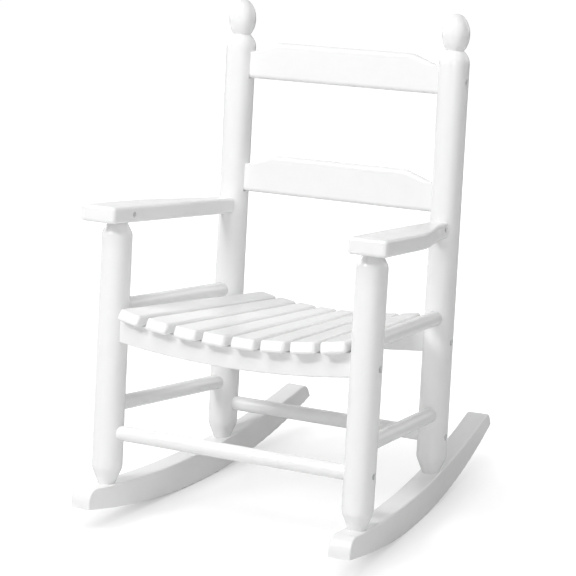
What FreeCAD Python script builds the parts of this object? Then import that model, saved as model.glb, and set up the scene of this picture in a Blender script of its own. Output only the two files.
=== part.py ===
import FreeCAD, Part

import math
import os

# A small child's rocking chair in painted wood: turned posts, a scooped seat of slats,
# a back of two slats, flat arms and two curved rockers.
# The chair is modelled upright first: X across, Y towards the back, Z up along the front
# posts, with the front posts' axes in the plane Y = 0. The right-hand pieces, seen from the
# front, are modelled and mirrored. At the end the whole chair leans back to the angle at
# which it rests, and is set on the floor. Lengths are millimetres and angles are degrees.

# Stance
rest_tilt = 7.1
front_spacing = 320.0
back_spacing = 280.5
side_depth = 225.0
back_lean_in = 0.17
back_lean_forward = 0.4

# Turned posts
post_radius = 17.4
foot_radius = 9.4
foot_taper = 19.0
foot_tenon = 14.0
foot_bury = 0.4
post_top_radius = 10.6
post_top_taper = 12.6
arm_tenon_radius = 9.4
arm_tenon = 14.0
taper_ease = 14.0
shoulder_height = 492.0
neck_rise = 15.0
neck_radius = 10.0
finial_radius = 15.9
finial_belly = 22.6
finial_crown = 24.0

# Rockers, measured along their own length from the front post
rocker_cheek = 3.6
rocker_top_radius = 1175.0
rocker_top_low_ahead = 2.0
rocker_top_low = -1.0
rocker_sole_radius = 716.0
rocker_front_sole_radius = 957.0
rocker_sole_low_ahead = 75.2
rocker_sole_depth = 31.2
rocker_toe = 47.0
rocker_heel_beyond = 175.0
rocker_nose_round = 15.0
rocker_heel_round = 13.0
rocker_edge_round = 1.8

# Round stretchers, all of one stock
dowel_radius = 8.6
socket_depth = 12.0
front_stretcher_height = 59.0
back_stretcher_rise = 4.0
side_stretcher_rise = 30.0
seat_dowel_rise = 48.3

# Scooped seat rails
rail_thickness = 18.0
rail_housing = 7.0
rail_bottom = 153.7
rail_depth = 24.3
rail_bottom_radius = 1060.0
rail_scoop_radius = 800.0
rail_edge_round = 1.5

# Seat slats, which fan out towards the front
slat_count = 8
slat_thickness = 13.0
slat_front_width = 29.6
slat_back_width = 23.4
slat_front_pitch = 37.1
slat_back_pitch = 27.6
slat_front_overhang = 23.5
slat_back_overhang = 18.6
slat_nose_back = 5.0
slat_corner_round = 4.2
slat_rim_round = 3.1

# Arms
arm_underside = 298.7
arm_drop = 4.0
arm_thickness = 18.3
arm_overhang = 32.0
arm_inner_offset = 15.5
arm_outer_offset = 31.0
arm_bend_start_offset = 24.0
arm_bend_end_offset = 13.5
arm_bend_length = 117.0
arm_bend_ahead = 14.4
arm_back_outer_offset = 11.5
arm_back_inner_offset = 9.5
arm_bend_reach = 32.0
arm_horn = 0.8
arm_corner_round = 5.0
arm_edge_round = 3.5
arm_peg_radius = 4.8
arm_peg_in_post = 11.0
arm_peg_in_arm = 22.0

# Back slats
back_slat_thickness = 12.0
back_slat_housing = 12.0
back_slat_flat_half = 87.0
back_slat_drop = 12.5
back_slat_shoulder_round = 24.0
back_slat_edge_round = 5.0
upper_slat_drop = 35.8
upper_slat_height = 44.0
back_slat_spacing = 134.5
lower_slat_height = 45.5

# Socket screws through the posts and from under the rockers
frame_head_radius = 3.7
frame_head_height = 3.6
frame_shank_radius = 2.1
frame_recess_radius = 4.1
frame_recess_depth = 7.0
frame_screw_length = 40.0
foot_screw_in_post = 22.0

# Small screws in the sides of the arms
arm_head_radius = 2.7
arm_head_height = 2.4
arm_shank_radius = 1.5
arm_recess_radius = 3.1
arm_recess_depth = 4.5
arm_front_screw_length = 24.0
arm_back_screw_length = 13.0
arm_front_screw_back = 6.5
arm_back_screw_ahead = 7.5
arm_back_screw_rise = 1.9

# Nails under the paint
nail_radius = 1.2
nail_in_rail = 14.0
nail_cover = 2.0

# Clearances, overruns and shares
fit_gap = 0.1
overrun = 60.0
wall_share = 0.45
drive_share = 0.6
drive_sides = 6
rail_screw_share = 0.45

# Values worked out from those above
front_half = front_spacing / 2
back_half = back_spacing / 2
toe_in = math.degrees(math.atan2(front_half - back_half, side_depth))
rocker_span = math.hypot(front_half - back_half, side_depth)
rocker_heel = rocker_span + rocker_heel_beyond
rocker_thickness = 2 * (foot_radius + rocker_cheek)
back_stretcher_height = front_stretcher_height + back_stretcher_rise
side_stretcher_height = front_stretcher_height + side_stretcher_rise
rail_top = rail_bottom + rail_depth
seat_dowel_height = rail_bottom + seat_dowel_rise
upper_slat_bottom = shoulder_height - upper_slat_drop
lower_slat_bottom = upper_slat_bottom - back_slat_spacing
slat_length = slat_front_overhang + side_depth + slat_back_overhang
arm_pitch = math.degrees(math.atan2(arm_drop, side_depth))
arm_seat_gap = fit_gap + post_top_radius * arm_drop / side_depth
origin = FreeCAD.Vector(0, 0, 0)
axis_x = FreeCAD.Vector(1, 0, 0)
axis_y = FreeCAD.Vector(0, 1, 0)
axis_z = FreeCAD.Vector(0, 0, 1)


# Small helpers
def vec(x, y, z):
    return FreeCAD.Vector(x, y, z)


def line(a, b):
    return Part.LineSegment(a, b).toShape()


def arc(a, b, c):
    return Part.Arc(a, b, c).toShape()


def chain(points):
    """Straight edges through a row of points."""
    return [line(a, b) for a, b in zip(points, points[1:])]


def rod(start, end, radius):
    """A round bar between two points."""
    along = end - start
    return Part.makeCylinder(radius, along.Length, start, along)


def turned(edges):
    """A solid of revolution about the Z axis, from edges that start and end on it."""
    bottom = edges[0].firstVertex(True).Point
    top = edges[-1].lastVertex(True).Point
    face = Part.Face(Part.Wire(edges + [line(top, bottom)]))
    return face.revolve(origin, axis_z, 360)


def moved(shape, x, y, z=0):
    shape.translate(vec(x, y, z))
    return shape


def mirrored(shape):
    """The same piece on the other side of the chair."""
    return shape.mirror(origin, axis_x)


def cut_all(shape, cutters):
    for cutter in cutters:
        shape = shape.cut(cutter)
    return shape


def edges_where(shape, test):
    """The edges of a shape whose middle point and direction pass a test."""
    found = []
    for edge in shape.Edges:
        half_way = (edge.FirstParameter + edge.LastParameter) / 2
        if test(edge.valueAt(half_way), edge.tangentAt(half_way)):
            found.append(edge)
    return found


def arc_rise(radius, reach):
    """How far an arc has risen at a distance from its lowest point."""
    return radius - math.sqrt(radius ** 2 - reach ** 2)


# Rocker curves, by distance along the rocker
def rocker_top_height(s):
    return rocker_top_low + arc_rise(rocker_top_radius, s - rocker_top_low_ahead)


def sole_radius_at(s):
    return rocker_sole_radius if s > rocker_sole_low_ahead else rocker_front_sole_radius


def sole_point(s):
    rise = arc_rise(sole_radius_at(s), s - rocker_sole_low_ahead)
    return vec(0, s, rise - rocker_sole_depth)


def foot_height(s):
    """Where a foot's taper ends, just under the rocker's top all round."""
    around = [rocker_top_height(s + side * foot_radius) for side in (-1, 0, 1)]
    return min(around) - foot_bury


front_foot_height = foot_height(0)
back_foot_height = foot_height(rocker_span)


# Posts
def on_back_axis(shape):
    """From the Z axis to the right-hand back post's axis, which leans in and forward."""
    pivot = vec(0, 0, back_foot_height)
    shape.rotate(pivot, axis_x, back_lean_forward)
    shape.rotate(pivot, axis_y, -back_lean_in)
    return moved(shape, back_half, side_depth)


def back_axis(z):
    """The point of the right-hand back post's axis at a height."""
    up = z - back_foot_height
    lean_in = up * math.tan(math.radians(back_lean_in))
    lean_forward = up * math.tan(math.radians(back_lean_forward))
    return vec(back_half - lean_in, side_depth - lean_forward, z)


def front_axis(z):
    return vec(front_half, 0, z)


def foot_edges(base, grow):
    """The tapered foot and its tenon, as edges from the axis outwards and up."""
    return chain([
        vec(0, 0, base - foot_tenon - grow),
        vec(foot_radius + grow, 0, base - foot_tenon - grow),
        vec(foot_radius + grow, 0, base),
        vec(post_radius + grow, 0, base + foot_taper),
    ])


def foot_socket(base):
    """The space that a foot takes in a rocker."""
    edges = foot_edges(base, fit_gap)
    rim = edges[-1].lastVertex(True).Point
    return turned(edges + [line(rim, vec(0, 0, rim.z))])


def eased(post, corner_height, taper):
    """A turned post whose corner at a height, between its side and a taper, is softened."""
    corner = [edge for edge in post.Edges if abs(edge.CenterOfMass.z - corner_height) < fit_gap]
    return post.makeFillet(min(taper_ease, 2 * taper), corner)


def front_post_blank():
    top = arm_underside - arm_seat_gap
    edges = foot_edges(front_foot_height, 0)
    edges += chain([
        vec(post_radius, 0, front_foot_height + foot_taper),
        vec(post_radius, 0, top - post_top_taper),
        vec(post_top_radius, 0, top),
        vec(arm_tenon_radius, 0, top),
        vec(arm_tenon_radius, 0, arm_underside + arm_tenon),
        vec(0, 0, arm_underside + arm_tenon),
    ])
    post = eased(turned(edges), front_foot_height + foot_taper, foot_taper)
    return moved(eased(post, top - post_top_taper, post_top_taper), front_half, 0)


def finial_edges():
    """The egg on top of a back post, from its neck out to its belly and up to its crown."""
    neck_share = neck_radius / finial_radius
    neck = shoulder_height + neck_rise
    widest = neck + finial_belly * math.sqrt(1 - neck_share ** 2)
    middle = vec(0, 0, widest)
    side = vec(finial_radius, 0, widest)
    crown = Part.Ellipse(vec(0, 0, widest + finial_crown), side, middle)
    belly = Part.Ellipse(vec(0, 0, widest + finial_belly), side, middle)
    quarter = math.pi / 2
    lower = Part.ArcOfEllipse(belly, quarter, math.pi - math.asin(neck_share)).toShape()
    upper = Part.ArcOfEllipse(crown, 0, quarter).toShape()
    lower.reverse()
    upper.reverse()
    return [lower, upper]


def shoulder_arc():
    """The rounded shoulder under the finial, upright where it leaves the post."""
    width = post_radius - neck_radius
    radius = (width ** 2 + neck_rise ** 2) / (2 * width)
    half_angle = math.asin(neck_rise / radius) / 2
    middle = vec(
        post_radius - radius + radius * math.cos(half_angle),
        0,
        shoulder_height + radius * math.sin(half_angle),
    )
    neck = vec(neck_radius, 0, shoulder_height + neck_rise)
    return arc(vec(post_radius, 0, shoulder_height), middle, neck)


def back_post_blank():
    edges = foot_edges(back_foot_height, 0)
    edges += chain([
        vec(post_radius, 0, back_foot_height + foot_taper),
        vec(post_radius, 0, shoulder_height),
    ])
    post = turned(edges + [shoulder_arc()] + finial_edges())
    return on_back_axis(eased(post, back_foot_height + foot_taper, foot_taper))


# Round stretchers
def side_dowel(height, depth, radius):
    """A bar from a front post to a back post, let into each by its depth."""
    front = front_axis(height)
    back = back_axis(height)
    inset = (back - front).normalize() * (post_radius - depth)
    return rod(front + inset, back - inset, radius)


def cross_dowel(post, depth, radius):
    """A bar across the chair, let into the posts on both sides by its depth."""
    end = post - axis_x * (post_radius - depth)
    return rod(vec(-end.x, end.y, end.z), end, radius)


# Rockers
def heel_top_point():
    """Where the heel's end face, square to the sole, meets the top curve."""
    foot = sole_point(rocker_heel)
    sole_centre = vec(0, rocker_sole_low_ahead, rocker_sole_radius - rocker_sole_depth)
    top_centre = vec(0, rocker_top_low_ahead, rocker_top_low + rocker_top_radius)
    inward = (sole_centre - foot).normalize()
    to_foot = foot - top_centre
    along = to_foot.dot(inward)
    square = along ** 2 - to_foot.dot(to_foot) + rocker_top_radius ** 2
    return foot + inward * (-along - math.sqrt(square))


def rocker_blank():
    """A rocker lying in the YZ plane, its front post at zero."""
    toe_low = sole_point(-rocker_toe)
    toe_high = vec(0, -rocker_toe, rocker_top_height(-rocker_toe))
    lowest = sole_point(rocker_sole_low_ahead)
    heel_low = sole_point(rocker_heel)
    heel_high = heel_top_point()
    wire = Part.Wire([
        arc(toe_low, sole_point((rocker_sole_low_ahead - rocker_toe) / 2), lowest),
        arc(lowest, sole_point((rocker_sole_low_ahead + rocker_heel) / 2), heel_low),
        line(heel_low, heel_high),
        arc(heel_high, vec(0, rocker_span, rocker_top_height(rocker_span)), toe_high),
        line(toe_high, toe_low),
    ])
    board = Part.Face(wire).extrude(vec(rocker_thickness, 0, 0))
    board = moved(board, -rocker_thickness / 2, 0)

    def crosswise_at(corner):
        return lambda p, d: abs(d.x) > abs(d.y) and (vec(0, p.y, p.z) - corner).Length < fit_gap

    nose_round = min(rocker_nose_round, (toe_high - toe_low).Length - rocker_edge_round)
    heel_round = min(rocker_heel_round, (heel_high - heel_low).Length - rocker_edge_round)
    board = board.makeFillet(nose_round, edges_where(board, crosswise_at(toe_high)))
    board = board.makeFillet(heel_round, edges_where(board, crosswise_at(heel_high)))
    rim = edges_where(board, lambda p, d: abs(abs(p.x) - rocker_thickness / 2) < fit_gap)
    board = board.makeFillet(min(rocker_edge_round, rocker_thickness * wall_share), rim)
    board.rotate(origin, axis_z, toe_in)
    return moved(board, front_half, 0)


# Screws
def screw(seat, direction, length, head_radius, head_height, shank_radius):
    """A socket screw whose shank runs from its head's seat along a direction."""
    outward = direction * -1
    head = Part.makeCylinder(head_radius, head_height, seat, outward)
    shank = Part.makeCylinder(shank_radius, length, seat, direction)
    turn = FreeCAD.Rotation(axis_z, outward)
    drive_radius = head_radius * drive_share
    drive_floor = head_height * (1 - drive_share)
    corners = []
    for step in range(drive_sides + 1):
        angle = 2 * math.pi * step / drive_sides
        corner = vec(drive_radius * math.cos(angle), drive_radius * math.sin(angle), drive_floor)
        corners.append(turn.multVec(corner) + seat)
    drive = Part.Face(Part.Wire(chain(corners))).extrude(outward * head_height)
    return head.fuse(shank).removeSplitter().cut(drive)


def screw_hole(seat, direction, length, recess_radius, shank_radius):
    """The recess and pilot hole that a screw sits in."""
    recess = Part.makeCylinder(recess_radius, overrun, seat, direction * -1)
    pilot = Part.makeCylinder(shank_radius + fit_gap, length + fit_gap, seat, direction)
    return recess.fuse(pilot)


def frame_screw(seat, direction, length):
    return screw(seat, direction, length, frame_head_radius, frame_head_height, frame_shank_radius)


def frame_hole(seat, direction, length):
    return screw_hole(seat, direction, length, frame_recess_radius, frame_shank_radius)


def arm_screw(seat, direction, length):
    return screw(seat, direction, length, arm_head_radius, arm_head_height, arm_shank_radius)


def arm_hole(seat, direction, length):
    return screw_hole(seat, direction, length, arm_recess_radius, arm_shank_radius)


def rail_screw_height(axis, scoop_radius):
    """The height of the screw in the end of a seat rail."""
    half = axis(rail_top).x - post_radius
    low = rail_bottom + arc_rise(rail_bottom_radius, half)
    high = rail_top + arc_rise(scoop_radius, half)
    return low + (high - low) * rail_screw_share


def frame_screw_seats():
    """Head seats, in the right-hand posts, of the screws into the pieces between the posts."""
    sink = axis_x * (post_radius - frame_recess_depth)
    slat_end_middle = upper_slat_bottom + (upper_slat_height - back_slat_drop) / 2
    return {
        "front_stretcher": front_axis(front_stretcher_height) + sink,
        "front_seat_rail": front_axis(rail_screw_height(front_axis, rail_scoop_radius)) + sink,
        "back_stretcher": back_axis(back_stretcher_height) + sink,
        "back_seat_rail": back_axis(rail_screw_height(back_axis, back_scoop_radius())) + sink,
        "upper_back_slat": back_axis(slat_end_middle) + sink,
    }


def foot_screw_places():
    """Head seat and length of the screws from under the right rocker into its posts."""
    places = []
    for base, s, x, y in (
        (front_foot_height, 0, front_half, 0),
        (back_foot_height, rocker_span, back_half, side_depth),
    ):
        seat = vec(x, y, sole_point(s).z + frame_recess_depth)
        places.append((seat, base - foot_tenon + foot_screw_in_post - seat.z))
    return places


# Arms
def arm_middle_height(y):
    """The middle of an arm's thickness, which drops a little towards the back."""
    return arm_underside - arm_drop * y / side_depth + arm_thickness / 2


def arm_end_axis():
    """The point of the back post's axis at the height of the arm's back end."""
    return back_axis(arm_middle_height(side_depth))


def arm_front_screw_seat():
    """The front screw goes in from the arm's inner side, through the post's tenon."""
    inner_face = front_half - arm_inner_offset
    height = arm_middle_height(arm_front_screw_back)
    return vec(inner_face + arm_recess_depth, arm_front_screw_back, height)


def arm_back_screw_seat():
    """The back screw goes in from the arm's outer side and locks the peg."""
    post = arm_end_axis()
    y = post.y - post_radius - arm_back_screw_ahead
    height = arm_middle_height(y) + arm_back_screw_rise
    return vec(post.x + arm_back_outer_offset - arm_recess_depth, y, height)


def arm_peg(grow):
    """A peg let into the back post and into the back end of the right arm."""
    face = arm_end_axis() - axis_y * post_radius
    return rod(
        face - axis_y * (arm_peg_in_arm + grow),
        face + axis_y * (arm_peg_in_post + grow),
        arm_peg_radius + grow,
    )


def arm_blank():
    """The right arm's board, cut to its outline, rounded and laid at its slope."""
    post = arm_end_axis()
    end = post.y - post_radius + arm_horn
    inner_front = vec(front_half - arm_inner_offset, -arm_overhang, 0)
    outer_front = vec(front_half + arm_outer_offset, -arm_overhang, 0)
    bend_end = vec(post.x + arm_bend_end_offset, end - arm_bend_ahead, 0)
    bend_start = vec(front_half + arm_bend_start_offset, bend_end.y - arm_bend_length, 0)
    outer_back = vec(post.x + arm_back_outer_offset, end, 0)
    inner_back = vec(post.x - arm_back_inner_offset, end, 0)
    ahead = (bend_start - outer_front).normalize() * arm_bend_reach
    behind = (outer_back - bend_end).normalize() * arm_bend_reach
    bend = Part.BezierCurve()
    bend.setPoles([bend_start, bend_start + ahead, bend_end - behind, bend_end])
    wire = Part.Wire([
        line(inner_front, outer_front),
        line(outer_front, bend_start),
        bend.toShape(),
        line(bend_end, outer_back),
        line(outer_back, inner_back),
        line(inner_back, inner_front),
    ])
    board = Part.Face(wire).extrude(vec(0, 0, arm_thickness))

    def front_corner(p, d):
        return abs(d.z) > abs(d.x) + abs(d.y) and p.y < fit_gap - arm_overhang

    def long_rim(p, d):
        return abs(d.z) < fit_gap and p.y < end - fit_gap

    edge_round = min(arm_edge_round, arm_thickness * wall_share)
    board = board.makeFillet(arm_corner_round, edges_where(board, front_corner))
    board = board.makeFillet(edge_round, edges_where(board, long_rim))
    board.rotate(origin, axis_x, -arm_pitch)
    return moved(board, 0, 0, arm_underside)


def arm():
    radius = arm_tenon_radius + fit_gap
    reach = arm_tenon + arm_drop + fit_gap
    tenon = Part.makeCylinder(radius, reach, front_axis(arm_underside - arm_drop))
    end = arm_end_axis().z
    post = rod(back_axis(end - overrun), back_axis(end + overrun), post_radius + fit_gap)
    return cut_all(arm_blank(), [
        tenon,
        post,
        arm_peg(fit_gap),
        arm_hole(arm_front_screw_seat(), axis_x, arm_front_screw_length),
        arm_hole(arm_back_screw_seat(), axis_x * -1, arm_back_screw_length),
    ])


# Back slats
def back_slat_blank(bottom, height, grow):
    """A slat between the back posts, with lowered shoulders at its ends."""
    post = back_axis(bottom + height / 2)
    inner = post.x - post_radius
    end = inner + back_slat_housing + grow
    low = bottom - grow
    high = bottom + height + grow
    ear = high - back_slat_drop
    right = [
        vec(end, 0, low),
        vec(end, 0, ear),
        vec(inner, 0, ear),
        vec(back_slat_flat_half, 0, high),
    ]
    left = [vec(-p.x, 0, p.z) for p in reversed(right)]
    wire = Part.Wire(chain(right + left + right[:1]))
    thickness = back_slat_thickness + 2 * grow
    slat = Part.Face(wire).extrude(vec(0, thickness, 0))
    return moved(slat, 0, post.y - thickness / 2)


def back_slat(bottom, height):
    slat = back_slat_blank(bottom, height, 0)
    top = bottom + height
    inner = back_axis(bottom + height / 2).x - post_radius

    def peak(p, d):
        return abs(d.y) > abs(d.x) and p.z > top - fit_gap

    def rim(p, d):
        return abs(d.y) < abs(d.x) and abs(p.x) < inner

    edge_round = min(back_slat_edge_round, back_slat_thickness * wall_share)
    slat = slat.makeFillet(back_slat_shoulder_round, edges_where(slat, peak))
    return slat.makeFillet(edge_round, edges_where(slat, rim))


# Seat rails
def back_scoop_radius():
    """Tighter than the front scoop as the slats close up, so that no slat is twisted."""
    return rail_scoop_radius * slat_pitch(side_depth) / slat_pitch(0)


def bow(half, middle, radius):
    """Three points of a scooped edge that is lowest at the middle."""
    rise = arc_rise(radius, half)
    return vec(-half, 0, middle + rise), vec(0, 0, middle), vec(half, 0, middle + rise)


def rail_blank(axis, scoop_radius, grow):
    """A rail between the posts of one pair, let into each by its housing."""
    post = axis((rail_bottom + rail_top) / 2)
    half = post.x - post_radius + rail_housing + grow
    left_top, middle_top, right_top = bow(half, rail_top + grow, scoop_radius)
    left_low, middle_low, right_low = bow(half, rail_bottom - grow, rail_bottom_radius)
    wire = Part.Wire([
        arc(left_low, middle_low, right_low),
        line(right_low, right_top),
        arc(right_top, middle_top, left_top),
        line(left_top, left_low),
    ])
    thickness = rail_thickness + 2 * grow
    rail = Part.Face(wire).extrude(vec(0, thickness, 0))
    return moved(rail, 0, post.y - thickness / 2)


def rail(axis, scoop_radius):
    blank = rail_blank(axis, scoop_radius, 0)
    edge_round = min(rail_edge_round, rail_thickness * wall_share)
    long_edges = edges_where(blank, lambda p, d: abs(d.x) > abs(d.y) + abs(d.z))
    return blank.makeFillet(edge_round, long_edges)


# Seat slats
def slat_pitch(y):
    """The spacing of the slats at a distance back from the front posts."""
    share = (y + slat_front_overhang) / slat_length
    return slat_front_pitch + (slat_back_pitch - slat_front_pitch) * share


def slat_middle(index, y):
    return (index - (slat_count - 1) / 2) * slat_pitch(y)


def slat_lift():
    """Keeps a flat slat clear of the hollow rail under it, which rises at its edges."""
    return fit_gap + arc_rise(rail_scoop_radius, slat_front_width / 2)


def slat_seat(index, y, scoop_radius):
    """The middle of a slat's underside where it lies on a rail."""
    x = slat_middle(index, y)
    return vec(x, y, rail_top + arc_rise(scoop_radius, x) + slat_lift())


def seat_slat_board(index):
    """One slat, lying on both rails, with rounded edges and no holes."""
    front = slat_seat(index, 0, rail_scoop_radius)
    back = slat_seat(index, side_depth, back_scoop_radius())
    along = (back - front).normalize()
    across = vec(math.sqrt(rail_scoop_radius ** 2 - front.x ** 2), 0, front.x)
    across = (across - along * across.dot(along)).normalize()
    up = across.cross(along)
    start = front - along * slat_front_overhang
    end = back + along * slat_back_overhang
    plan = chain([
        start - across * (slat_front_width / 2),
        start + across * (slat_front_width / 2),
        end + across * (slat_back_width / 2),
        end - across * (slat_back_width / 2),
        start - across * (slat_front_width / 2),
    ])
    board = Part.Face(Part.Wire(plan)).extrude(up * slat_thickness)

    # The front end is cut at a slant, so that its lower edge stands out furthest
    nose = start - across * slat_front_width
    over_nose = nose + up * slat_thickness + along * slat_nose_back
    waste = chain([nose, over_nose * 2 - nose, over_nose * 2 - nose - along * overrun, nose])
    board = board.cut(Part.Face(Part.Wire(waste)).extrude(across * (2 * slat_front_width)))

    def corner(p, d):
        return abs(d.dot(up)) > abs(d.dot(along)) + abs(d.dot(across))

    def rim(p, d):
        return abs(abs((p - front).dot(up) * 2 - slat_thickness) - slat_thickness) < fit_gap

    board = board.makeFillet(slat_corner_round, edges_where(board, corner))
    rim_round = min(slat_rim_round, slat_thickness * wall_share)
    return board.makeFillet(rim_round, edges_where(board, rim))


def nails(index, grow):
    """The two nails of a slat, one into each rail."""
    bodies = []
    for y, scoop_radius in ((0, rail_scoop_radius), (side_depth, back_scoop_radius())):
        seat = slat_seat(index, y, scoop_radius)
        foot = seat - axis_z * (nail_in_rail + grow)
        head = seat + axis_z * (slat_thickness - nail_cover + grow)
        bodies.append(rod(foot, head, nail_radius + grow))
    return bodies


def post_clearances():
    """The posts' own space beside the seat, which the outer slats keep clear of."""
    radius = post_radius + fit_gap
    bodies = []
    for axis in (front_axis, back_axis):
        body = rod(axis(rail_bottom), axis(arm_underside), radius)
        bodies += [body, mirrored(body)]
    return bodies


# The whole chair
def sided_pieces(frame_holes, foot_screws):
    """The pieces that come as a right-hand one and its mirror image."""
    grown = dowel_radius + fit_gap
    deeper = socket_depth + fit_gap
    foot_holes = [frame_hole(seat, axis_z, length) for seat, length in foot_screws]
    shared_sockets = [
        side_dowel(side_stretcher_height, deeper, grown),
        side_dowel(seat_dowel_height, deeper, grown),
    ]
    front_post = cut_all(front_post_blank(), shared_sockets + [
        cross_dowel(front_axis(front_stretcher_height), deeper, grown),
        rail_blank(front_axis, rail_scoop_radius, fit_gap),
        frame_holes["front_stretcher"],
        frame_holes["front_seat_rail"],
        foot_holes[0],
        arm_hole(arm_front_screw_seat(), axis_x, arm_front_screw_length),
    ])
    back_post = cut_all(back_post_blank(), shared_sockets + [
        cross_dowel(back_axis(back_stretcher_height), deeper, grown),
        rail_blank(back_axis, back_scoop_radius(), fit_gap),
        back_slat_blank(lower_slat_bottom, lower_slat_height, fit_gap),
        back_slat_blank(upper_slat_bottom, upper_slat_height, fit_gap),
        arm_peg(fit_gap),
        frame_holes["back_stretcher"],
        frame_holes["back_seat_rail"],
        frame_holes["upper_back_slat"],
        foot_holes[1],
    ])
    rocker = cut_all(rocker_blank(), foot_holes + [
        moved(foot_socket(front_foot_height), front_half, 0),
        on_back_axis(foot_socket(back_foot_height)),
    ])
    peg_hole = arm_hole(arm_back_screw_seat(), axis_x * -1, arm_back_screw_length)
    return {
        "rocker": rocker,
        "front_post": front_post,
        "back_post": back_post,
        "arm": arm(),
        "arm_peg": arm_peg(0).cut(peg_hole),
        "seat_side_dowel": side_dowel(seat_dowel_height, socket_depth, dowel_radius),
        "side_stretcher": side_dowel(side_stretcher_height, socket_depth, dowel_radius),
    }


def crosswise_pieces(frame_holes):
    """The pieces between the right-hand and left-hand posts."""
    every_nail = [hole for index in range(slat_count) for hole in nails(index, fit_gap)]
    front_bar = front_axis(front_stretcher_height)
    back_bar = back_axis(back_stretcher_height)
    shapes = {
        "front_stretcher": cross_dowel(front_bar, socket_depth, dowel_radius),
        "back_stretcher": cross_dowel(back_bar, socket_depth, dowel_radius),
        "front_seat_rail": cut_all(rail(front_axis, rail_scoop_radius), every_nail),
        "back_seat_rail": cut_all(rail(back_axis, back_scoop_radius()), every_nail),
        "upper_back_slat": back_slat(upper_slat_bottom, upper_slat_height),
    }
    for name, hole in frame_holes.items():
        shapes[name] = cut_all(shapes[name], [hole, mirrored(hole)])
    shapes["lower_back_slat"] = back_slat(lower_slat_bottom, lower_slat_height)
    return shapes


def fastener_groups(seats, foot_screws):
    """Groups of like screws and nails, each a separate solid."""
    inward = axis_x * -1
    front_arm = arm_screw(arm_front_screw_seat(), axis_x, arm_front_screw_length)
    back_arm = arm_screw(arm_back_screw_seat(), inward, arm_back_screw_length)
    right = {
        "frame_screws": [frame_screw(seat, inward, frame_screw_length) for seat in seats.values()],
        "arm_front_screws": [front_arm],
        "arm_back_screws": [back_arm],
        "rocker_screws": [frame_screw(seat, axis_z, length) for seat, length in foot_screws],
    }
    groups = {name: group + [mirrored(one) for one in group] for name, group in right.items()}
    groups["seat_nails"] = [nail for index in range(slat_count) for nail in nails(index, 0)]
    return groups


def build():
    """Every piece of the chair, upright, as lists of solids by the name of their node."""
    seats = frame_screw_seats()
    inward = axis_x * -1
    frame_holes = {name: frame_hole(seat, inward, frame_screw_length) for name, seat in seats.items()}
    foot_screws = foot_screw_places()
    pieces = fastener_groups(seats, foot_screws)
    for name, shape in sided_pieces(frame_holes, foot_screws).items():
        pieces["right_" + name] = [shape]
        pieces["left_" + name] = [mirrored(shape)]
    for name, shape in crosswise_pieces(frame_holes).items():
        pieces[name] = [shape]
    for index in range(slat_count):
        cutters = nails(index, fit_gap) + post_clearances()
        pieces["seat_slat_" + str(index + 1)] = [cut_all(seat_slat_board(index), cutters)]
    return pieces


def set_down(pieces):
    """Leans the upright chair back to its rest and stands it on the floor, centred."""
    solids = [solid for group in pieces.values() for solid in group]
    for solid in solids:
        solid.rotate(origin, axis_x, -rest_tilt)
    box = Part.makeCompound(solids).optimalBoundingBox(False)
    shift = vec(0, -(box.YMin + box.YMax) / 2, -box.ZMin)
    for solid in solids:
        solid.translate(shift)
    return shift


def centre_of_volume(pieces):
    volume = 0
    moment = vec(0, 0, 0)
    for solid in Part.makeCompound(sum(pieces.values(), [])).Solids:
        volume += solid.Volume
        moment += solid.CenterOfMass * solid.Volume
    return moment / volume


def main():
    os.makedirs("parts", exist_ok=True)
    pieces = build()
    shift = set_down(pieces)
    for name, group in sorted(pieces.items()):
        shape = group[0] if len(group) == 1 else Part.makeCompound(group)
        shape.exportStep("parts/" + name + ".step")
        print(name, len(shape.Solids), "solids", round(shape.Volume), "mm3", shape.isValid())
    print("nodes", len(pieces), "shift to the floor", shift)
    print("centre of volume", centre_of_volume(pieces))


main()
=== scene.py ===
# %% [markdown]
# # A child's rocking chair in white paint
#
# The chair is a small porch rocker: turned posts with egg finials, a back of two slats, flat
# arms, a scooped seat of eight slats and two curved rockers, all of hardwood under white
# paint. Its pieces come ready-shaped, so this lesson is about finish and light: how a white
# object gets its form from shading alone, and how the wood still shows through the paint.

import math

import bpy
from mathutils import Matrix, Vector

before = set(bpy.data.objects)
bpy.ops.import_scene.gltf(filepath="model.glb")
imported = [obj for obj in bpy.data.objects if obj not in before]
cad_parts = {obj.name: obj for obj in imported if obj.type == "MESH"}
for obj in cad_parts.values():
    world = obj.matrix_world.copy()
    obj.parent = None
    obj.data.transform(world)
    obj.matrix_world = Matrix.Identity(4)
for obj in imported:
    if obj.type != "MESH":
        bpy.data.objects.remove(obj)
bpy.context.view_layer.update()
print("pieces", len(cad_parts))

# %% [markdown]
# ## Nodes and colours
#
# Every finish below is a small network of nodes. Building each node by hand takes four or
# five lines, so one helper does it: it adds a node, fills in its settings and joins its
# inputs. Colours are written as the eye sees them on a screen, and a second helper turns
# them into the linear light that the renderer works in.
#
# A mix node has one set of sockets for numbers, one for vectors and one for colours, all
# under the same names. Its factor and its colours are therefore reached by their places.


# %% A helper that adds one node
def add_node(tree, kind, settings=None, inputs=None, links=None):
    node = tree.nodes.new(kind)
    for name, value in (settings or {}).items():
        setattr(node, name, value)
    for name, value in (inputs or {}).items():
        node.inputs[name].default_value = value
    for name, source in (links or {}).items():
        tree.links.new(source, node.inputs[name])
    return node


mix_factor, mix_first, mix_second = 0, 6, 7
mixed_colour = 2
print("colour sockets of a mix node", mix_first, mix_second)


# %% A helper that turns a screen colour into linear light
def linear(hex_colour):
    channels = [int(hex_colour[i:i + 2], 16) / 255 for i in (1, 3, 5)]
    return [c / 12.92 if c <= 0.04045 else ((c + 0.055) / 1.055) ** 2.4 for c in channels] + [1]


print("white paint in linear light", [round(c, 3) for c in linear("#F2F2F2")])

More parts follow.
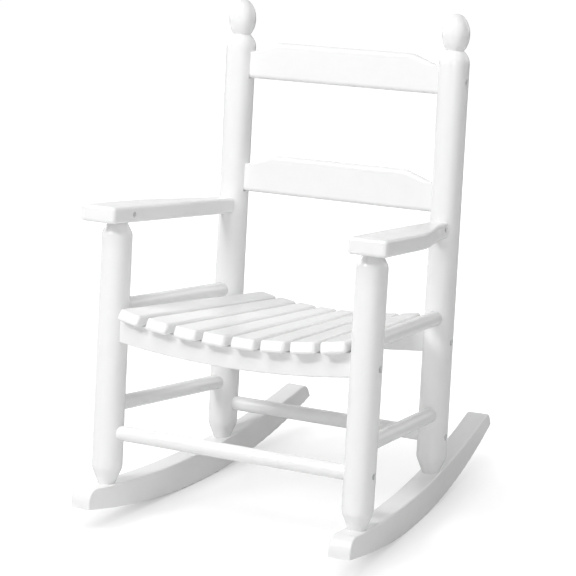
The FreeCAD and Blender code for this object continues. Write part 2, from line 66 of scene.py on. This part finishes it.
# %% [markdown]
# ## White enamel on hardwood
#
# The finish is sprayed satin enamel over close-grained hardwood. Three things tell the eye
# that it is paint on wood and not moulded plastic. The film is a little uneven, so that
# highlights wander. Its surface has the fine dimples that painters call orange peel. And
# the grain underneath has swollen and shrunk, so long faint ridges run with each piece.
#
# A grain runs along its own board. The material is made once for each direction, and a
# mapping node squeezes a noise pattern along that direction. The chair leans back on its
# rockers, so the directions lean with it.

# %% Real sizes of the paint's patterns, in metres
lean = math.radians(7.1)
slat_width = 0.0296
grain_ridge = 0.0022
grain_length = 0.045
orange_peel = 0.0028
film_swell = 0.014
print("ridges across one seat slat", round(slat_width / grain_ridge))


# %% Enamel whose grain runs one way
def enamel(name, grain_turn):
    material = bpy.data.materials.new(name)
    material.use_nodes = True
    tree = material.node_tree
    tree.nodes.clear()
    place = add_node(tree, "ShaderNodeTexCoord")
    # Three patterns: long ridges of grain, the spray's dimples and the film's slow swell.
    turn = add_node(
        tree, "ShaderNodeMapping", {"vector_type": "TEXTURE"},
        {"Rotation": grain_turn, "Scale": (grain_ridge, grain_ridge, grain_length)},
        {"Vector": place.outputs["Object"]},
    )
    grain = add_node(
        tree, "ShaderNodeTexNoise", inputs={"Scale": 1, "Detail": 3, "Roughness": 0.55},
        links={"Vector": turn.outputs["Vector"]},
    )
    peel = add_node(
        tree, "ShaderNodeTexNoise", inputs={"Scale": 1 / orange_peel, "Detail": 1},
        links={"Vector": place.outputs["Object"]},
    )
    swell = add_node(
        tree, "ShaderNodeTexNoise", inputs={"Scale": 1 / film_swell, "Detail": 2},
        links={"Vector": place.outputs["Object"]},
    )
    # Where the film is thicker it looks a trace whiter, and its shine is a little duller.
    tint = add_node(
        tree, "ShaderNodeMix", {"data_type": "RGBA"},
        {mix_first: linear("#F1F1F1"), mix_second: linear("#F4F4F4")},
        {mix_factor: swell.outputs["Fac"]},
    )
    sheen = add_node(
        tree, "ShaderNodeMapRange", inputs={"To Min": 0.2, "To Max": 0.25},
        links={"Value": swell.outputs["Fac"]},
    )
    # The swell bends highlights, the grain streaks them and the dimples break their edges.
    waves = add_node(
        tree, "ShaderNodeBump", inputs={"Strength": 0.08, "Distance": 0.0005},
        links={"Height": swell.outputs["Fac"]},
    )
    ridges = add_node(
        tree, "ShaderNodeBump", inputs={"Strength": 0.3, "Distance": 0.00022},
        links={"Height": grain.outputs["Fac"], "Normal": waves.outputs["Normal"]},
    )
    dimples = add_node(
        tree, "ShaderNodeBump", inputs={"Strength": 0.2, "Distance": 0.00018},
        links={"Height": peel.outputs["Fac"], "Normal": ridges.outputs["Normal"]},
    )
    paint = add_node(
        tree, "ShaderNodeBsdfPrincipled", inputs={"IOR": 1.48},
        links={
            "Base Color": tint.outputs[mixed_colour],
            "Roughness": sheen.outputs["Result"],
            "Normal": dimples.outputs["Normal"],
        },
    )
    add_node(tree, "ShaderNodeOutputMaterial", links={"Surface": paint.outputs["BSDF"]})
    return material


upright = enamel("white enamel, grain upright", (-lean, 0, 0))
crosswise = enamel("white enamel, grain across", (0, math.radians(90), 0))
lengthwise = enamel("white enamel, grain front to back", (math.radians(90) - lean, 0, 0))
print(upright.name, crosswise.name, lengthwise.name, sep="\n")

# %% [markdown]
# ## Screws, nails and pegs
#
# The posts are held by socket screws, sunk in holes in their outer faces. They are zinc
# plated: a pale metal with a slightly blue, broken shine from the plating's crystals. The
# nails get the same zinc-plated finish. The two screws at the front of the arms went in
# before the paint and are white. The pegs inside the arms are bare birch.

# %% Zinc plate
zinc_crystal = 0.0009
zinc = bpy.data.materials.new("zinc-plated steel")
zinc.use_nodes = True
tree = zinc.node_tree
tree.nodes.clear()
place = add_node(tree, "ShaderNodeTexCoord")
# Each crystal of the plating has its own shade, so the screw glints in small flakes.
crystals = add_node(
    tree, "ShaderNodeTexVoronoi", inputs={"Scale": 1 / zinc_crystal},
    links={"Vector": place.outputs["Object"]},
)
shade = add_node(
    tree, "ShaderNodeMix", {"data_type": "RGBA"},
    {mix_first: linear("#A9ACB0"), mix_second: linear("#C9CCD0")},
    {mix_factor: crystals.outputs["Color"]},
)
shine = add_node(
    tree, "ShaderNodeMapRange", inputs={"To Min": 0.28, "To Max": 0.5},
    links={"Value": crystals.outputs["Distance"]},
)
metal = add_node(
    tree, "ShaderNodeBsdfPrincipled", inputs={"Metallic": 1},
    links={"Base Color": shade.outputs[mixed_colour], "Roughness": shine.outputs["Result"]},
)
add_node(tree, "ShaderNodeOutputMaterial", links={"Surface": metal.outputs["BSDF"]})
print(zinc.name)

# %% Bare birch
birch_ring = 0.0016
birch_streak = 0.03
birch = bpy.data.materials.new("bare birch")
birch.use_nodes = True
tree = birch.node_tree
tree.nodes.clear()
place = add_node(tree, "ShaderNodeTexCoord")
squeeze = add_node(
    tree, "ShaderNodeMapping", {"vector_type": "TEXTURE"},
    {
        "Rotation": (math.radians(90) - lean, 0, 0),
        "Scale": (birch_ring, birch_ring, birch_streak),
    },
    {"Vector": place.outputs["Object"]},
)
# Pale and tan streaks show the peg as raw wood beside the white paint.
rings = add_node(
    tree, "ShaderNodeTexNoise", inputs={"Scale": 1, "Detail": 4},
    links={"Vector": squeeze.outputs["Vector"]},
)
wood = add_node(
    tree, "ShaderNodeMix", {"data_type": "RGBA"},
    {mix_first: linear("#C9A878"), mix_second: linear("#E2C79C")},
    {mix_factor: rings.outputs["Fac"]},
)
surface = add_node(
    tree, "ShaderNodeBsdfPrincipled", inputs={"Roughness": 0.65},
    links={"Base Color": wood.outputs[mixed_colour]},
)
add_node(tree, "ShaderNodeOutputMaterial", links={"Surface": surface.outputs["BSDF"]})
print(birch.name)

# %% [markdown]
# ## Which finish goes where
#
# The posts' grain stands up, that of the stretchers, rails and back slats that cross the
# chair runs from side to side, and everything else runs from front to back. A piece's
# finish goes into its object's own slot, so that the mesh itself stays as it came.


# %% Give every piece its finish
def finish_for(name):
    if name == "arm_front_screws":
        return lengthwise
    if "screws" in name or "nails" in name:
        return zinc
    if "peg" in name:
        return birch
    if "post" in name:
        return upright
    if name.startswith(("front_", "back_")) or "back_slat" in name:
        return crosswise
    return lengthwise


for name, piece in sorted(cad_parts.items()):
    if not piece.material_slots:
        piece.data.materials.append(None)
    for slot in piece.material_slots:
        slot.link = "OBJECT"
        slot.material = finish_for(name)
    print(name, "->", finish_for(name).name)

# %% [markdown]
# ## Studio
#
# The chair stands on a plain white floor that runs past the edges of the picture. A white
# object on white shows its form only where its sides turn away from the light, so the lamps
# differ in strength. The key lamp stands at the front left, above the chair, and it is small
# enough to draw the slats' shadows on the front rail. A wide lamp overhead brightens all
# that faces up. Two weak ones at the right and one at the left open the shadows, and two
# behind the chair stand for the bright backdrop, which puts light edges on the posts.
#
# The camera sees the room and the floor as white, which costs the chair no light. Near the
# chair the floor's glow is dimmed, which paints shade around it on top of the real soft
# shadow. It is dimmed most close under the rockers, where an occlusion mask paints a darker
# contact shade. For light that bounces the paper is white; the camera alone sees it a tone
# darker under its glow.

# %% White room
room_light = 0.01
world = bpy.data.worlds.new("white room")
bpy.context.scene.world = world
world.use_nodes = True
tree = world.node_tree
tree.nodes.clear()
ray = add_node(tree, "ShaderNodeLightPath")
seen = add_node(
    tree, "ShaderNodeMath", {"operation": "MAXIMUM"},
    links={0: ray.outputs["Is Camera Ray"], 1: ray.outputs["Is Glossy Ray"]},
)
seen_or_through = add_node(
    tree, "ShaderNodeMath", {"operation": "MAXIMUM"},
    links={0: seen.outputs[0], 1: ray.outputs["Is Transmission Ray"]},
)
level = add_node(
    tree, "ShaderNodeMapRange", inputs={"To Min": room_light, "To Max": 1},
    links={"Value": seen_or_through.outputs[0]},
)
room = add_node(
    tree, "ShaderNodeBackground", inputs={"Color": (1, 1, 1, 1)},
    links={"Strength": level.outputs["Result"]},
)
add_node(tree, "ShaderNodeOutputWorld", links={"Surface": room.outputs["Background"]})
print("room light", room_light)

# %% Floor
floor_width = 12
painted_shade_glow = 0.78
painted_shade_reach = 0.13
white_reach = 0.42
painted_contact_reach = 0.045
painted_contact_level = 0.5
bpy.ops.object.select_all(action="DESELECT")
bpy.ops.mesh.primitive_plane_add(size=floor_width, location=(0, 0, 0))
floor = bpy.context.object
floor.name = "studio_floor"

paper = bpy.data.materials.new("white paper sweep")
paper.use_nodes = True
tree = paper.node_tree
tree.nodes.clear()
ray = add_node(tree, "ShaderNodeLightPath")
paper_tone = add_node(
    tree, "ShaderNodeMix", {"data_type": "RGBA"},
    {mix_first: linear("#F2F2F2"), mix_second: linear("#8D8D8D")},
    {mix_factor: ray.outputs["Is Camera Ray"]},
)
matt = add_node(
    tree, "ShaderNodeBsdfDiffuse", links={"Color": paper_tone.outputs[mixed_colour]}
)
place = add_node(tree, "ShaderNodeTexCoord")
distance = add_node(
    tree, "ShaderNodeVectorMath", {"operation": "LENGTH"}, links={0: place.outputs["Object"]},
)
# Painted shade: the paper's glow is dimmed near the chair and rises to full further out.
painted_shade_around_chair = add_node(
    tree, "ShaderNodeMapRange", {"interpolation_type": "SMOOTHSTEP"},
    {"From Min": painted_shade_reach, "From Max": white_reach, "To Min": painted_shade_glow, "To Max": 1},
    {"Value": distance.outputs["Value"]},
)
# Painted contact shade: where little of the room is in view under the rockers, an occlusion
# mask dims the paper's glow.
open_view = add_node(tree, "ShaderNodeAmbientOcclusion", inputs={"Distance": painted_contact_reach})
painted_contact_shade = add_node(
    tree, "ShaderNodeMapRange", inputs={"To Min": painted_contact_level, "To Max": 1},
    links={"Value": open_view.outputs["AO"]},
)
glow_with_painted_shade = add_node(
    tree, "ShaderNodeMath", {"operation": "MULTIPLY"},
    links={0: painted_shade_around_chair.outputs["Result"], 1: painted_contact_shade.outputs["Result"]},
)
seen = add_node(
    tree, "ShaderNodeMath", {"operation": "MULTIPLY"},
    links={0: glow_with_painted_shade.outputs[0], 1: ray.outputs["Is Camera Ray"]},
)
glow = add_node(
    tree, "ShaderNodeEmission", inputs={"Color": (1, 1, 1, 1)},
    links={"Strength": seen.outputs[0]},
)
both = add_node(
    tree, "ShaderNodeAddShader", links={0: matt.outputs["BSDF"], 1: glow.outputs["Emission"]}
)
add_node(tree, "ShaderNodeOutputMaterial", links={"Surface": both.outputs["Shader"]})
floor.data.materials.append(paper)
print("floor", floor.name, "with its full glow from", white_reach, "m outwards")


# %% A helper that aims one soft lamp at the chair
lamp_target = Vector((0, 0, 0.28))


def soft_lamp(name, bearing, rise, distance, width, watts):
    """Bearing counts degrees from the chair's front towards its +X side, rise from level."""
    turn, lift = math.radians(bearing), math.radians(rise)
    away = Vector((
        math.sin(turn) * math.cos(lift), -math.cos(turn) * math.cos(lift), math.sin(lift),
    ))
    light = bpy.data.lights.new(name, "AREA")
    light.shape = "DISK"
    light.size = width
    light.energy = watts
    lamp = bpy.data.objects.new(name, light)
    lamp.location = lamp_target + away * distance
    lamp.rotation_euler = away.to_track_quat("Z", "Y").to_euler()
    lamp.visible_camera = False
    bpy.context.collection.objects.link(lamp)
    print(name, watts, "W")


# %% Lamps: bearing and rise in degrees, distance and width in metres, strength in watts
soft_lamp("key lamp", -31, 39, 2.9, 0.6, 35)
soft_lamp("overhead lamp", 0, 64, 3.3, 2.3, 48)
soft_lamp("fill lamp", 30, 18, 3.4, 1.6, 19.5)
soft_lamp("right lamp", 80, 40, 2.8, 1.6, 11)
soft_lamp("left lamp", -95, 18, 2.8, 1.6, 12)
soft_lamp("left backdrop lamp", -125, 18, 2.8, 1.6, 24)
soft_lamp("right backdrop lamp", 150, 18, 2.8, 1.6, 11)

# %% [markdown]
# ## Camera
#
# The picture was taken from the front, off to the chair's left hand, a little above the
# seat, with a long lens. The place and the turn were found by matching the posts' edges.

# %% Camera
camera = bpy.data.objects.new("camera", bpy.data.cameras.new("camera"))
bpy.context.collection.objects.link(camera)
camera.location = (1.23866, -2.2794, 0.93504)
camera.rotation_euler = [math.radians(a) for a in (75.2515, 0.3030, 28.8256)]
camera.data.sensor_width = 36
camera.data.lens = 146.07
camera.data.clip_end = 50
bpy.context.scene.camera = camera
bpy.context.scene.view_settings.view_transform = "Standard"
print("camera", [round(c, 3) for c in camera.location])
